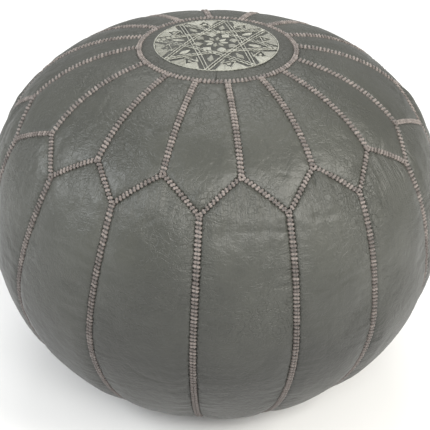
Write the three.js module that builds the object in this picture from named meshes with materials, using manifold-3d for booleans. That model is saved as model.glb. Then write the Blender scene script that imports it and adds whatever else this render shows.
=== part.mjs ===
// A round hand-sewn leather pouf: sixteen petals round an embroidered medallion, sixteen gabled side
// panels, a split base with a zip, and the liner and stuffing inside. Millimetres, +Z up; the origin is
// the middle of the base on the floor.
import * as THREE from "three";
import { mergeVertices } from "three/addons/utils/BufferGeometryUtils.js";
import Module from "manifold-3d";

// The outline of the stuffed cover: one rounded curve above the widest height and another below it.
const RADIUS = 254;
const CROWN_RISE = 0.85 * RADIUS; // from the widest height up to the top
const CROWN_POWER = 2.65;
const BELLY_DROP = 0.87 * RADIUS; // down to where the lower curve would close, under the floor
const BELLY_POWER = 1.95;
const WAIST_HEIGHT = 0.785 * RADIUS; // the widest height above the floor

// The seam lines, each at a radius on that outline.
const PANELS = 16;
const FIRST_SEAM = THREE.MathUtils.degToRad(7); // turn of the first petal seam, from -Y towards +X
const RING_SEAM = 0.335 * RADIUS;
const SHOULDER = 0.797 * RADIUS; // where two petals part and a gable rises between them
const PETAL_TIP = 0.893 * RADIUS;
const BASE_SEAM = 0.5 * RADIUS;

// Leather, cord and cloth.
const LEATHER = 2.4;
const PUFF = 5; // how far a panel's middle stands out from its edges
const SEAM_GAP = 3.8; // from a seam line to a panel's edge
const BLUNT = 1.2; // half the width of a panel's blunt point
const CORD_RADIUS = 3;
const CORD_DEPTH = PUFF + 0.5;
const CORD_SIDES = 4;
const CORD_STEP = 30; // the stretch of cord that one straight piece stands for
const KNOT_RADIUS = 3.4;
const CLEARANCE = 0.4;
const EMBROIDERY_RADIUS = 0.79 * RING_SEAM;
const EMBROIDERY_THICKNESS = 1;

// The base, and the channel in it that keeps the zip off the floor.
const CONTACT_RADIUS = 0.4 * RADIUS;
const CHANNEL_LENGTH = 198;
const CHANNEL_HALF_WIDTH = 14;
const WELT_RISE = 3.5;
const WELT_REACH = 7; // half the mouth left between the two welts
const LINER_DEPTH = 14;
const LINER_BASE = 16;
const LINER_WALL = 2;
const LINER_MOUTH = 58;
const STUFFING_DEPTH = 19;
const STUFFING_BASE = 21;

// The zip, from the floor up: pull tab, slider, teeth on their tapes.
const ZIP_LENGTH = 176;
const SLIDER_TRAVEL = 150;
const TEETH = { wide: 3, high: 3.2, gap: 1.6, z: 6.7 };
const TAPE = { wide: 9, thick: 0.8 };
const SLIDER = { long: 16, wide: 11, plate: 1.2, neck: 1, neckLong: 4 };
const ARCH = { long: 9, wide: 2, bar: 1, leg: 1.2 };
const TAB = { long: 20, wide: 8, thick: 1.2, slotLong: 5.8, slotWide: 3 };

const HALF_PITCH = Math.PI / PANELS;
const ROUND = 2 * PANELS; // straight sides that stand for a circle on the cover
const LINING_ROUND = 20; // and on what is inside it
// A shape drawn across and up, extruded along X.
const ALONG_X = new THREE.Matrix4().makeBasis(
  new THREE.Vector3(0, 1, 0),
  new THREE.Vector3(0, 0, 1),
  new THREE.Vector3(1, 0, 0),
);

const COLOURS = {
  leather: [0x6b6c66, 0.55, 0],
  darkLeather: [0x55554e, 0.55, 0],
  thread: [0xa5968e, 0.8, 0],
  silverThread: [0xbebeb2, 0.6, 0],
  cotton: [0xd9d2c2, 0.95, 0],
  filling: [0xe8e4da, 1, 0],
  tape: [0x4b4a46, 0.9, 0],
  metal: [0x9a9a96, 0.35, 1],
};

const wasm = await Module();
wasm.setup();

const pouf = new THREE.Group();

function add(name, geometry, finish) {
  const [color, roughness, metalness] = COLOURS[finish];
  const mesh = new THREE.Mesh(
    geometry,
    new THREE.MeshStandardMaterial({ color, roughness, metalness }),
  );
  mesh.name = name;
  pouf.add(mesh);
  return mesh;
}

// A closed geometry as a manifold-3d solid, and back again.
function solid(geometry) {
  const bare = geometry.clone();
  bare.deleteAttribute("normal");
  bare.deleteAttribute("uv");
  const merged = mergeVertices(bare, 1e-3);
  return new wasm.Manifold(
    new wasm.Mesh({
      numProp: 3,
      vertProperties: merged.attributes.position.array,
      triVerts: new Uint32Array(merged.index.array),
    }),
  );
}

function geometryOf(shape) {
  const mesh = shape.getMesh();
  const geometry = new THREE.BufferGeometry();
  geometry.setAttribute("position", new THREE.BufferAttribute(mesh.vertProperties, mesh.numProp));
  geometry.setIndex(new THREE.BufferAttribute(mesh.triVerts, 1));
  return geometry.toNonIndexed();
}

const joined = (shapes) => shapes.reduce((all, shape) => all.add(shape));

function box(long, wide, high, x, y, z) {
  return new THREE.BoxGeometry(long, wide, high).translate(x, y, z);
}

// The outline. Its angle runs from 90 degrees at the top, through 0 at the waist, to below the floor.
function curveAt(angle) {
  return angle >= 0
    ? { power: CROWN_POWER, rise: CROWN_RISE }
    : { power: BELLY_POWER, rise: -BELLY_DROP };
}

function angleAt(radius, side) {
  const { power } = curveAt(side);
  return side * Math.acos((radius / RADIUS) ** (power / 2));
}

// The radius and height of the outline at an angle, moved inwards by a depth.
function outline(angle, depth) {
  const { power, rise } = curveAt(angle);
  const across = Math.max(Math.cos(angle), 0) ** (2 / power);
  const up = Math.abs(Math.sin(angle)) ** (2 / power);
  const normal = new THREE.Vector2(
    across ** (power - 1) / RADIUS,
    up ** (power - 1) / rise,
  ).normalize();
  return new THREE.Vector2(
    RADIUS * across - depth * normal.x,
    WAIST_HEIGHT + rise * up - depth * normal.y,
  );
}

function onCover(turn, angle, depth) {
  const { x: radius, y: height } = outline(angle, depth);
  return new THREE.Vector3(radius * Math.sin(turn), -radius * Math.cos(turn), height);
}

const ANGLE = {
  ring: angleAt(RING_SEAM, 1),
  shoulder: angleAt(SHOULDER, 1),
  tip: angleAt(PETAL_TIP, 1),
  base: angleAt(BASE_SEAM, -1),
};

// How far the zigzag seam has come from the shoulders, at 1, to the petal tips, at 0.
const zigzagShare = (angle) => (angle - ANGLE.tip) / (ANGLE.shoulder - ANGLE.tip);
const zigzagAngle = (share) => THREE.MathUtils.lerp(ANGLE.tip, ANGLE.shoulder, share);
const zigzagFall = outline(ANGLE.shoulder, 0).distanceTo(outline(ANGLE.tip, 0));
const zigzagRun = (HALF_PITCH * (SHOULDER + PETAL_TIP)) / 2;
const ZIGZAG_GAP = SEAM_GAP / Math.sin(Math.atan2(zigzagFall, zigzagRun));

// Half the width of a petal or of a side panel at an angle, as a turn.
function halfWidth(angle, share) {
  const radius = outline(angle, 0).x;
  const straight = HALF_PITCH - SEAM_GAP / radius;
  const slanted = HALF_PITCH * share - ZIGZAG_GAP / radius;
  return Math.max(Math.min(straight, slanted), BLUNT / radius);
}

const petalHalf = (angle) => halfWidth(angle, zigzagShare(angle));
const sideHalf = (angle) => halfWidth(angle, 1 - zigzagShare(angle));

// A closed sheet of leather over a grid of rows and four columns, crowned in its middle.
function panelGeometry(middle, angles, halfAt) {
  const columns = [-1, -1 / 3, 1 / 3, 1];
  const grid = (under) =>
    angles.map((angle, row) => {
      const along = (2 * row) / (angles.length - 1) - 1;
      return columns.map((across) => {
        const crown = (1 - across ** 2) * (1 - along ** 4);
        const depth = PUFF * (1 - crown) + (under ? LEATHER : 0);
        return onCover(middle + across * halfAt(angle), angle, depth);
      });
    });
  const outer = grid(false);
  const inner = grid(true);
  const faces = [];
  const quad = (a, b, c, d) => faces.push(a, b, c, a, c, d);
  const last = { row: angles.length - 1, column: columns.length - 1 };
  for (let r = 0; r < last.row; r++) {
    for (let c = 0; c < last.column; c++) {
      quad(outer[r][c], outer[r + 1][c], outer[r + 1][c + 1], outer[r][c + 1]);
      quad(inner[r][c], inner[r][c + 1], inner[r + 1][c + 1], inner[r + 1][c]);
    }
    quad(outer[r][0], inner[r][0], inner[r + 1][0], outer[r + 1][0]);
    const right = last.column;
    quad(outer[r][right], outer[r + 1][right], inner[r + 1][right], inner[r][right]);
  }
  for (let c = 0; c < last.column; c++) {
    quad(outer[0][c], outer[0][c + 1], inner[0][c + 1], inner[0][c]);
    const end = last.row;
    quad(outer[end][c], inner[end][c], inner[end][c + 1], outer[end][c + 1]);
  }
  return new THREE.BufferGeometry().setFromPoints(faces);
}

// Angles from one to another in even steps, both ends included.
function steps(from, to, count) {
  return Array.from({ length: count + 1 }, (_, i) => THREE.MathUtils.lerp(from, to, i / count));
}

// The seam gap as a step in the outline's angle.
function gapAsAngle(angle) {
  const trial = 0.01;
  return (trial * SEAM_GAP) / outline(angle, 0).distanceTo(outline(angle - trial, 0));
}

// The share of the zigzag at which a panel's slanted edge meets its straight one, or its blunt point.
const cornerShare = 1 + (ZIGZAG_GAP - SEAM_GAP) / (HALF_PITCH * SHOULDER);
const pointShare = (ZIGZAG_GAP + BLUNT) / (HALF_PITCH * SHOULDER);

function addPanels() {
  const petalCorner = zigzagAngle(cornerShare);
  const petalAngles = [
    ...steps(ANGLE.ring - gapAsAngle(ANGLE.ring), petalCorner, 4),
    ...steps(petalCorner, zigzagAngle(pointShare), 2).slice(1),
  ];
  const sideCorner = zigzagAngle(1 - cornerShare);
  const sideAngles = [
    ...steps(zigzagAngle(1 - pointShare), sideCorner, 2),
    ...steps(sideCorner, ANGLE.base + gapAsAngle(ANGLE.base), 7).slice(1),
  ];
  for (let i = 0; i < PANELS; i++) {
    const number = String(i + 1).padStart(2, "0");
    const seam = FIRST_SEAM + 2 * HALF_PITCH * i;
    add(`petal_${number}`, panelGeometry(seam + HALF_PITCH, petalAngles, petalHalf), "leather");
    add(`side_panel_${number}`, panelGeometry(seam, sideAngles, sideHalf), "leather");
  }
}

// A sheet of revolution between two depths under the outline, whose profile closes on itself.
function domeGeometry(angles, depth, thickness) {
  const over = angles.map((angle) => outline(angle, depth));
  const under = angles.map((angle) => outline(angle, depth + thickness));
  const profile = [...under, ...over.reverse()];
  return latheGeometry(profile, ROUND);
}

function latheGeometry(profile, segments) {
  profile[0].x = 0;
  profile[profile.length - 1].x = 0;
  return new THREE.LatheGeometry(profile, segments).rotateX(Math.PI / 2);
}

function addMedallion() {
  const rim = ANGLE.ring + gapAsAngle(ANGLE.ring);
  const angles = [Math.PI / 2, ...steps(angleAt(0.7 * RING_SEAM, 1), rim, 1)];
  add("top_medallion", domeGeometry(angles, PUFF / 2, LEATHER), "darkLeather");
  const sewn = [Math.PI / 2, angleAt(EMBROIDERY_RADIUS / 2, 1), angleAt(EMBROIDERY_RADIUS, 1)];
  const above = PUFF / 2 - EMBROIDERY_THICKNESS - CLEARANCE;
  add("medallion_embroidery", domeGeometry(sewn, above, EMBROIDERY_THICKNESS), "silverThread");
}

// A cord laid along points on the cover.
function cordGeometry(points) {
  const path = new THREE.CatmullRomCurve3(points);
  const section = new THREE.Shape(
    Array.from({ length: CORD_SIDES }, (_, i) => {
      const turn = (2 * Math.PI * i) / CORD_SIDES;
      return new THREE.Vector2(CORD_RADIUS * Math.cos(turn), CORD_RADIUS * Math.sin(turn));
    }),
  );
  return new THREE.ExtrudeGeometry(section, {
    steps: Math.max(2, Math.round(path.getLength() / CORD_STEP)),
    bevelEnabled: false,
    extrudePath: path,
  });
}

function cordBetween(fromTurn, fromAngle, toTurn, toAngle) {
  const points = steps(0, 1, 8).map((share) =>
    onCover(
      THREE.MathUtils.lerp(fromTurn, toTurn, share),
      THREE.MathUtils.lerp(fromAngle, toAngle, share),
      CORD_DEPTH,
    ),
  );
  return solid(cordGeometry(points));
}

function knot(turn, angle) {
  const { x, y, z } = onCover(turn, angle, CORD_DEPTH);
  return solid(new THREE.OctahedronGeometry(KNOT_RADIUS).translate(x, y, z));
}

function cordRing(angle) {
  const { x: radius, y: height } = outline(angle, CORD_DEPTH);
  return new THREE.TorusGeometry(radius, CORD_RADIUS, CORD_SIDES, ROUND).translate(0, 0, height);
}

function addCords() {
  add("medallion_ring_cord", cordRing(ANGLE.ring), "thread");
  const crown = [];
  const skirt = [solid(cordRing(ANGLE.base))];
  const besideRing = ANGLE.ring - gapAsAngle(ANGLE.ring);
  const underTip = ANGLE.tip - 1.4 * gapAsAngle(ANGLE.tip);
  for (let i = 0; i < PANELS; i++) {
    const seam = FIRST_SEAM + 2 * HALF_PITCH * i;
    const tip = seam + HALF_PITCH;
    crown.push(cordBetween(seam, besideRing, seam, ANGLE.shoulder));
    crown.push(cordBetween(seam, ANGLE.shoulder, tip, ANGLE.tip));
    crown.push(cordBetween(tip, ANGLE.tip, seam + 2 * HALF_PITCH, ANGLE.shoulder));
    crown.push(knot(seam, ANGLE.shoulder), knot(tip, ANGLE.tip));
    skirt.push(cordBetween(tip, underTip, tip, ANGLE.base));
  }
  add("petal_seam_cord", geometryOf(joined(crown)), "thread");
  add("side_seam_cord", geometryOf(joined(skirt)), "thread");
}

// One half of the base: a shallow dish cut along the zip, with a welt turned up beside the channel.
function baseHalf(side) {
  const edge = outline(ANGLE.base, PUFF);
  const rim = new THREE.Vector2(edge.x - SEAM_GAP, edge.y);
  const lift = new THREE.Vector2(0, LEATHER);
  const foot = new THREE.Vector2(CONTACT_RADIUS, 0);
  const profile = [new THREE.Vector2(0, 0), foot, rim];
  const inside = profile.map((p) => p.clone().add(lift)).reverse();
  const dish = solid(latheGeometry([...profile, ...inside], ROUND));
  const reach = 2 * RADIUS;
  const otherSide = box(reach, reach, reach, 0, -side * (reach / 2 - CLEARANCE), 0);
  const channel = box(CHANNEL_LENGTH, 2 * CHANNEL_HALF_WIDTH, reach, 0, 0, 0);
  const welt = new THREE.Shape([
    new THREE.Vector2(CHANNEL_HALF_WIDTH + LEATHER, 0),
    new THREE.Vector2(CHANNEL_HALF_WIDTH + LEATHER, LEATHER),
    new THREE.Vector2(CHANNEL_HALF_WIDTH, LEATHER),
    new THREE.Vector2(WELT_REACH, WELT_RISE + LEATHER),
    new THREE.Vector2(WELT_REACH, WELT_RISE),
    new THREE.Vector2(CHANNEL_HALF_WIDTH, 0),
  ]);
  const strip = new THREE.ExtrudeGeometry(welt, { depth: CHANNEL_LENGTH, bevelEnabled: false })
    .translate(0, 0, -CHANNEL_LENGTH / 2)
    .applyMatrix4(ALONG_X)
    .rotateZ(side > 0 ? 0 : Math.PI);
  return dish.subtract(solid(otherSide)).subtract(solid(channel)).add(solid(strip));
}

// Inside the cover: a cotton liner with a mouth over the zip, and the stuffing.
function liningProfile(depth, floor, innerRadius) {
  const angles = steps(Math.PI / 2, ANGLE.base, 7);
  const shoulder = new THREE.Vector2(0.85 * CONTACT_RADIUS, floor);
  return [...angles.map((a) => outline(a, depth)), shoulder, new THREE.Vector2(innerRadius, floor)];
}

function addInside() {
  const outside = liningProfile(LINER_DEPTH, LINER_BASE, LINER_MOUTH);
  const inside = liningProfile(LINER_DEPTH + LINER_WALL, LINER_BASE + LINER_WALL, LINER_MOUTH);
  add("inner_liner", latheGeometry([...inside, ...outside.reverse()], LINING_ROUND), "cotton");
  const filled = liningProfile(STUFFING_DEPTH, STUFFING_BASE, 0);
  add("stuffing", latheGeometry(filled.reverse(), LINING_ROUND), "filling");
}

// A flat plate with round ends, lying at a height.
function plateGeometry(long, wide, thick, z) {
  const reach = (long - wide) / 2;
  const shape = new THREE.Shape();
  shape.absarc(reach, 0, wide / 2, -Math.PI / 2, Math.PI / 2);
  shape.absarc(-reach, 0, wide / 2, Math.PI / 2, (3 * Math.PI) / 2);
  return new THREE.ExtrudeGeometry(shape, {
    depth: thick,
    bevelEnabled: false,
    curveSegments: 6,
  }).translate(0, 0, z);
}

function addZip() {
  const teethInner = TEETH.gap / 2;
  const tapeInner = teethInner + TEETH.wide + CLEARANCE;
  for (const [name, side] of [["left", 1], ["right", -1]]) {
    const y = side * (teethInner + TEETH.wide / 2);
    add(`zip_teeth_${name}`, box(ZIP_LENGTH, TEETH.wide, TEETH.high, 0, y, TEETH.z), "metal");
    const tapeY = side * (tapeInner + TAPE.wide / 2);
    add(`zip_tape_${name}`, box(CHANNEL_LENGTH, TAPE.wide, TAPE.thick, 0, tapeY, TEETH.z), "tape");
    add(`base_half_${name}`, geometryOf(baseHalf(side)), "leather");
  }
  const stopLength = (CHANNEL_LENGTH - ZIP_LENGTH) / 2 - 2 * CLEARANCE;
  for (const [name, side] of [["bottom", 1], ["top", -1]]) {
    const x = side * (ZIP_LENGTH / 2 + CLEARANCE + stopLength / 2);
    const stopWide = 2 * (tapeInner - CLEARANCE);
    add(`zip_${name}_stop`, box(stopLength, stopWide, TEETH.high, x, 0, TEETH.z), "metal");
  }

  // The slider holds both rows of teeth between two plates on a neck; an arch under it keeps the tab.
  const over = TEETH.z + TEETH.high / 2 + CLEARANCE;
  const under = TEETH.z - TEETH.high / 2 - CLEARANCE - SLIDER.plate;
  const neckHigh = over - under + SLIDER.plate;
  const closed = -SLIDER_TRAVEL / 2;
  const archTop = under - TAB.thick - 2 * CLEARANCE;
  const archFoot = archTop - ARCH.bar;
  const legHigh = under + SLIDER.plate - archFoot;
  const legAt = (ARCH.long - ARCH.leg) / 2;
  const leg = (x) => box(ARCH.leg, ARCH.wide, legHigh, x, 0, archFoot + legHigh / 2);
  const slider = joined(
    [
      plateGeometry(SLIDER.long, SLIDER.wide, SLIDER.plate, over),
      plateGeometry(SLIDER.long, SLIDER.wide, SLIDER.plate, under),
      box(SLIDER.neckLong, SLIDER.neck, neckHigh, 0, 0, under + neckHigh / 2),
      leg(legAt),
      leg(-legAt),
      box(ARCH.long, ARCH.wide, ARCH.bar, 0, 0, archFoot + ARCH.bar / 2),
    ].map(solid),
  );
  add("zip_slider", geometryOf(slider), "metal").position.x = closed;

  // The tab lies towards the top stop; its end bar turns inside the arch.
  const tabZ = under - CLEARANCE - TAB.thick / 2;
  const tab = plateGeometry(TAB.long, TAB.wide, TAB.thick, -TAB.thick / 2);
  const slotX = TAB.long / 2 - TAB.thick - TAB.slotLong / 2;
  const slot = box(TAB.slotLong, TAB.slotWide, 2 * TAB.thick, slotX, 0, 0);
  const pull = add("zip_pull_tab", geometryOf(solid(tab).subtract(solid(slot))), "metal");
  pull.position.set(closed - TAB.long / 2 + TAB.thick / 2, 0, tabZ);
}

addPanels();
addMedallion();
addCords();
addInside();
addZip();

export default pouf;
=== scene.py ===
"""The looks of a hand-sewn leather pouf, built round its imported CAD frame. Metres, +Z up, floor at z = 0.

A point of the cover is given by a turn (radians round the pouf, from -Y towards +X) and by its reach
(metres along the cover's outline, up from the base seam), at a depth under the outline.
"""

import math

import bmesh
import bpy
import numpy as np
from mathutils import Matrix, Vector
from mathutils.geometry import delaunay_2d_cdt


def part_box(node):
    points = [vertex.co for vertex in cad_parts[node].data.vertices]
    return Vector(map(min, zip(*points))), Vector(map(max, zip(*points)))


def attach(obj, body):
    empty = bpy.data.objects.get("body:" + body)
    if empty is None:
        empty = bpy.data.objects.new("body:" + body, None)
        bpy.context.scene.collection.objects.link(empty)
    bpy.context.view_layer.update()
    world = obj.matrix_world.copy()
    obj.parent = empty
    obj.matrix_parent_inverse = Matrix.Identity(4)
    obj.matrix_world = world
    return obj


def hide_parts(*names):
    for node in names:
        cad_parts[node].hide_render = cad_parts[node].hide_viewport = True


MM = 0.001

# The outline of the stuffed cover, the same as the CAD model's.
RADIUS = 254 * MM
CROWN_RISE, CROWN_POWER = 0.85 * RADIUS, 2.65
BELLY_DROP, BELLY_POWER = 0.87 * RADIUS, 1.95
WAIST_HEIGHT = 0.785 * RADIUS

# Seam lines, each at a radius on the outline.
PANELS = 16
FIRST_SEAM = math.radians(7)
PITCH = 2 * math.pi / PANELS
RING_SEAM = 0.335 * RADIUS
SHOULDER = 0.797 * RADIUS
PETAL_TIP = 0.893 * RADIUS
BASE_SEAM = 0.5 * RADIUS

# How far hand work strays from an even layout: degrees for most seams, and the few that stray more.
STRAY = 0.9
RING_STRAY = {1: 2, 5: -2, 6: -2, 7: -2, 11: -4, 12: -7, 13: -2}
SHOULDER_STRAY = {2: -2, 3: -5, 13: 3, 14: 2}
TIP_STRAY = {3: -1}
LEAN = {1: 1, 2: 2, 3: 6, 14: -9, 15: -4}  # of a side seam, reached at the waist

# Leather.
SEAM_DEPTH = 4.2 * MM  # of the seams
TUCKED = 0.9 * MM  # how much deeper the panels' edges are
INSET = 2.9 * MM  # from the middle of a seam of full width to the panels' edges
LEATHER = 1.8 * MM
GRAIN = 4.4 * MM  # the simulation's mesh size
LIP, LIP_REACH = 1.9 * MM, 2.2 * MM  # how steeply a panel stands up from its edge
CROWN = 3.2 * MM  # how far the stuffing then pushes its middle out
PETAL_SHARE = 0.55  # of both, for a petal
HILLS, HILL_SIZE = 0.6 * MM, 90 * MM
PATCH_SIZE = 45 * MM  # along a seam, of stretches that are tucked more or less
CREASE, LONG_CREASE = 0.55 * MM, 1.15 * MM  # how deep the seams' creases are, short and long
CLOTH = {
    "quality": 5, "mass": 0.5, "tension_stiffness": 40, "compression_stiffness": 40, "shear_stiffness": 15,
    "bending_stiffness": 2, "use_pressure": True, "uniform_pressure_force": 4, "shrink_min": -0.012,
}
CLOTH_FRAMES = 20

# Stitches: across the seam and out of it, in millimetres, from one side to the other.
STITCH_SHAPE = [(-2.7, -2.2), (-2.5, -0.8), (-1.75, 0.5), (-0.9, 0.2), (0, -0.7)]
STITCH_SHAPE += [(-x, z) for x, z in STITCH_SHAPE[-2::-1]]
STITCH_PITCH = 4.3 * MM
SLANT = 0.5  # how far along the seam a stitch's end lies from its middle, in millimetres
THREAD = 1.4 * MM
THREAD_SIDES = 6
UNEVEN = {"place": 0.25, "width": 0.08, "lift": 0.15, "slant": 0.4, "thickness": 0.07}  # of stitches, +-
# The turned edges under the stitches, in the same terms.
WELT_SHAPE = [(-3.0, -3.2), (-2.7, -1.1), (-2.1, 0.05), (-1.4, 0.2), (0, -0.5)]
WELT_SHAPE += [(-x, z) for x, z in WELT_SHAPE[-2::-1]]
WELT_STEP = 2.2 * MM
# The widths of the seams, as shares of these two shapes.
SIDE_WIDTH, PETAL_WIDTH, GABLE_WIDTH, RING_WIDTH = 0.95, 0.85, 0.62, 0.66

# For each edge of a panel, in order: its width, how strongly it creases the panel, and how far.
LONG_TUCK = 25 * MM  # creases that reach further than this hang straight down, whatever the seam's slope
PETAL_HABITS = [(PETAL_WIDTH, 0.35, 10 * MM), (GABLE_WIDTH, 0.4, 12 * MM), (GABLE_WIDTH, 0.4, 12 * MM),
                (PETAL_WIDTH, 0.35, 10 * MM), (RING_WIDTH, 0.3, 8 * MM)]
SIDE_HABITS = [(GABLE_WIDTH, 1.0, 34 * MM), (SIDE_WIDTH, 0.7, 13 * MM), (SIDE_WIDTH, 0.4, 15 * MM),
               (SIDE_WIDTH, 0.7, 13 * MM), (GABLE_WIDTH, 1.0, 34 * MM)]

# The medallion and its embroidery.
MEDALLION_CROWN = 1.5 * MM
EMBROIDERY = 0.79  # of the ring seam's radius
STAR_TURN = math.radians(-8)
OFF_CENTRE = -1.5 * MM  # along X
STAR_POINTS, STAR_PITCH = 8, 45  # the pitch in degrees
STAR_RIM = 0.985  # of the pattern's radius
SATIN_PITCH = 0.85 * MM
SATIN_ARCH = [-0.45, 0.15, 0.38, 0.42, 0.38, 0.15, -0.45]  # a laid thread's lift, in millimetres
SATIN_SIDES = 5
LINE_STITCH, LINE_THREAD = 5.5 * MM, 0.55 * MM
GROUND_LIFT = 0.25 * MM

# The base and the zip's channel in it.
CONTACT = 0.4 * RADIUS
CHANNEL_LONG, CHANNEL_WIDE = 198 * MM, 28 * MM
BASE_GRAIN = 4 * MM
BASE_GAP = 0.6 * MM  # from each half's cut edge to the middle
# The leather folded back on itself along the zip: millimetres from the middle, and up.
FOLD = [(14.0, 0.2), (12.5, 0.6), (10.5, 1.8), (8.6, 3.1), (7.3, 4.3), (7.0, 5.2), (7.6, 5.9)]
FOLD += [(9.0, 5.9), (11.0, 4.7), (13.0, 3.2), (15.0, 2.4)]
TOOTH_PITCH = 2.4 * MM
TOOTH_SHAPE = [(1.0, 0.33), (0.42, 0.33), (0.28, 0.2), (0.1, 0.3), (0.0, 0.2)]  # share across, and along
TOOTH_SHAPE = [(a, -b) for a, b in TOOTH_SHAPE[::-1]] + TOOTH_SHAPE
TOOTH_LEVELS = [(-1, 0.8, 0.94), (-0.75, 1, 1), (0.75, 1, 1), (1, 0.8, 0.94)]  # height, shape's shares
TAPE_SHAPE = [(1.0, 0.6), (0.3, 0.6), (0.22, 1.0), (0.1, 1.5), (0.0, 1.0)]  # share across, and thickness
TAPE_SHAPE = [(a, -b) for a, b in TAPE_SHAPE[::-1]] + TAPE_SHAPE

# Inside: depth under the outline, and height of the flat bottom.
LINER_DEPTH, LINER_FLOOR, LINER_MOUTH, LINER_CLOTH = 14 * MM, 16 * MM, 58 * MM, 1 * MM
FILL_DEPTH, FILL_FLOOR = 19 * MM, 21 * MM

# Below these heights in metres the hides and the thread are painted darker, by this much a metre: painted
# shade for the less lit lower part.
PAINTED_SHADE_HEIGHT, PAINTED_SHADE_FALL = 0.3, 3.4
THREAD_SHADE_HEIGHT, THREAD_SHADE_FALL = 0.33, 1.8

# Lights, all turned to one point above the floor.
AMBIENT = 0.52
LAMP_AIM = Vector((0, 0, 0.25))
FLOOR_HALF = 9.0
LAMPS = [  # name, place, size, watts, colour
    ("front", (0.5, -2.5, 2.05), (1.8, 1.0), 66, (1.0, 0.99, 0.96)),
    ("right", (2.1, -1.15, 1.95), (1.2, 1.3), 66, (1.0, 0.97, 0.89)),
    ("left", (-2.4, -0.7, 1.8), (1.2, 1.3), 50, (0.95, 0.98, 1.0)),
    ("back", (0.0, 1.4, 2.8), (1.8, 1.2), 26, (1.0, 1.0, 1.0)),
]

# Camera.
CAMERA_AIM = Vector((0, 0, WAIST_HEIGHT))
CAMERA_REACH = 6.5 * RADIUS
CAMERA_RISE = math.radians(30.2)
CAMERA_ROLL = math.radians(0.9)
LENS = 120.6

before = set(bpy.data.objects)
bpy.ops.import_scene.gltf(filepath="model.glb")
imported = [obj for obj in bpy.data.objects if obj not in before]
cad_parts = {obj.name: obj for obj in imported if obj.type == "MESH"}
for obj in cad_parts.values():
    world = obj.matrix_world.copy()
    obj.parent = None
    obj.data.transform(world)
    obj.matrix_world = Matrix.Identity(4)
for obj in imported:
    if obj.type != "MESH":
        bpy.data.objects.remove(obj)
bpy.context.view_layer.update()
rng = np.random.default_rng(16)


# ---------------- the outline
def outline(angle, depth=0.0):
    """Radius, height and normal of the outline, moved in by a depth, at an angle up from the waist."""
    angle = np.asarray(angle, float)
    upper = angle >= 0
    power = np.where(upper, CROWN_POWER, BELLY_POWER)
    rise = np.where(upper, CROWN_RISE, -BELLY_DROP)
    across = np.maximum(np.cos(angle), 0) ** (2 / power)
    up = np.abs(np.sin(angle)) ** (2 / power)
    normal = np.stack([across ** (power - 1) / RADIUS, up ** (power - 1) / rise])
    normal = normal / np.linalg.norm(normal, axis=0)
    return RADIUS * across - depth * normal[0], WAIST_HEIGHT + rise * up - depth * normal[1], normal


def angle_at(radius, side):
    power = CROWN_POWER if side > 0 else BELLY_POWER
    return side * math.acos((radius / RADIUS) ** (power / 2))


_angles = np.linspace(angle_at(BASE_SEAM, -1), math.pi / 2, 4001)
_radii, _heights, _ = outline(_angles, SEAM_DEPTH)
_reaches = np.concatenate([[0], np.cumsum(np.hypot(np.diff(_radii), np.diff(_heights)))])


def reach_at(radius, side=1):
    return float(np.interp(angle_at(radius, side), _angles, _reaches))


TOP = float(_reaches[-1])
RING, SHOULDERS, TIPS = reach_at(RING_SEAM), reach_at(SHOULDER), reach_at(PETAL_TIP)
WAIST = float(np.interp(0, _angles, _reaches))


def radius_at(reach):
    return np.interp(reach, _reaches, _radii)


def on_cover(turn, reach, depth):
    """Points a depth under the cover's outline, and its outward normals."""
    turn, reach = np.broadcast_arrays(np.asarray(turn, float), np.asarray(reach, float))
    radius, height, (out, up) = outline(np.interp(reach, _reaches, _angles), depth)
    sin, cos = np.sin(turn), np.cos(turn)
    points = np.stack([radius * sin, -radius * cos, height], -1)
    normals = np.stack([out * sin, -out * cos, up + 0 * sin], -1)
    return points, normals


# ---------------- the seam lines
def strays(listed):
    even = rng.uniform(-STRAY, STRAY, PANELS)
    for seam, degrees in listed.items():
        even[seam] = degrees
    return np.radians(even)


seam_turn = FIRST_SEAM + PITCH * np.arange(PANELS)
ring_turn = seam_turn + strays(RING_STRAY)
shoulder_turn = seam_turn + strays(SHOULDER_STRAY)
tip_turn = seam_turn - PITCH / 2 + strays(TIP_STRAY)  # tip k lies between shoulders k-1 and k
base_turn = tip_turn + strays(LEAN)
shoulder_reach = SHOULDERS + rng.uniform(-1, 1, PANELS) * 1.5 * MM
tip_reach = TIPS + rng.uniform(-1, 1, PANELS) * 1.5 * MM


def turned(values, index):
    """The value of a seam counted past either end of the round."""
    return values[index % PANELS] + 2 * math.pi * (index // PANELS)


def ring_point(k):
    return turned(ring_turn, k), RING


def shoulder_point(k):
    return turned(shoulder_turn, k), shoulder_reach[k % PANELS]


def tip_point(k):
    return turned(tip_turn, k), tip_reach[k % PANELS]


def straight(a, b, bow=0.0, step=2.5 * MM):
    """Points (turn, reach) from a to b, bowed out by a share of its length."""
    (ta, ra), (tb, rb) = a, b
    length = math.hypot((tb - ta) * float(radius_at((ra + rb) / 2)), rb - ra)
    share = np.linspace(0, 1, max(2, int(length / step)))
    rise = 4 * bow * length * share * (1 - share)
    return np.stack([ta + (tb - ta) * share, ra + (rb - ra) * share + rise], -1)


def side_seam(k, step=3 * MM):
    """From tip k down to the base seam, leaning until the waist."""
    start, reach = tip_point(k)
    reaches = np.linspace(reach, 0, int(reach / step))
    share = np.clip((reach - reaches) / (reach - WAIST * 0.8), 0, 1)
    share = share * share * (3 - 2 * share)
    return np.stack([start + (turned(base_turn, k) - start) * share, reaches], -1)


def circle(turn_a, turn_b, reach, step=2.5 * MM):
    count = max(2, int(abs(turn_b - turn_a) * float(radius_at(reach)) / step))
    return np.stack([np.linspace(turn_a, turn_b, count), np.full(count, reach)], -1)


def gable(shoulder, tip):
    return straight(shoulder_point(shoulder), tip_point(tip), bow=0.045)


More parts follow.
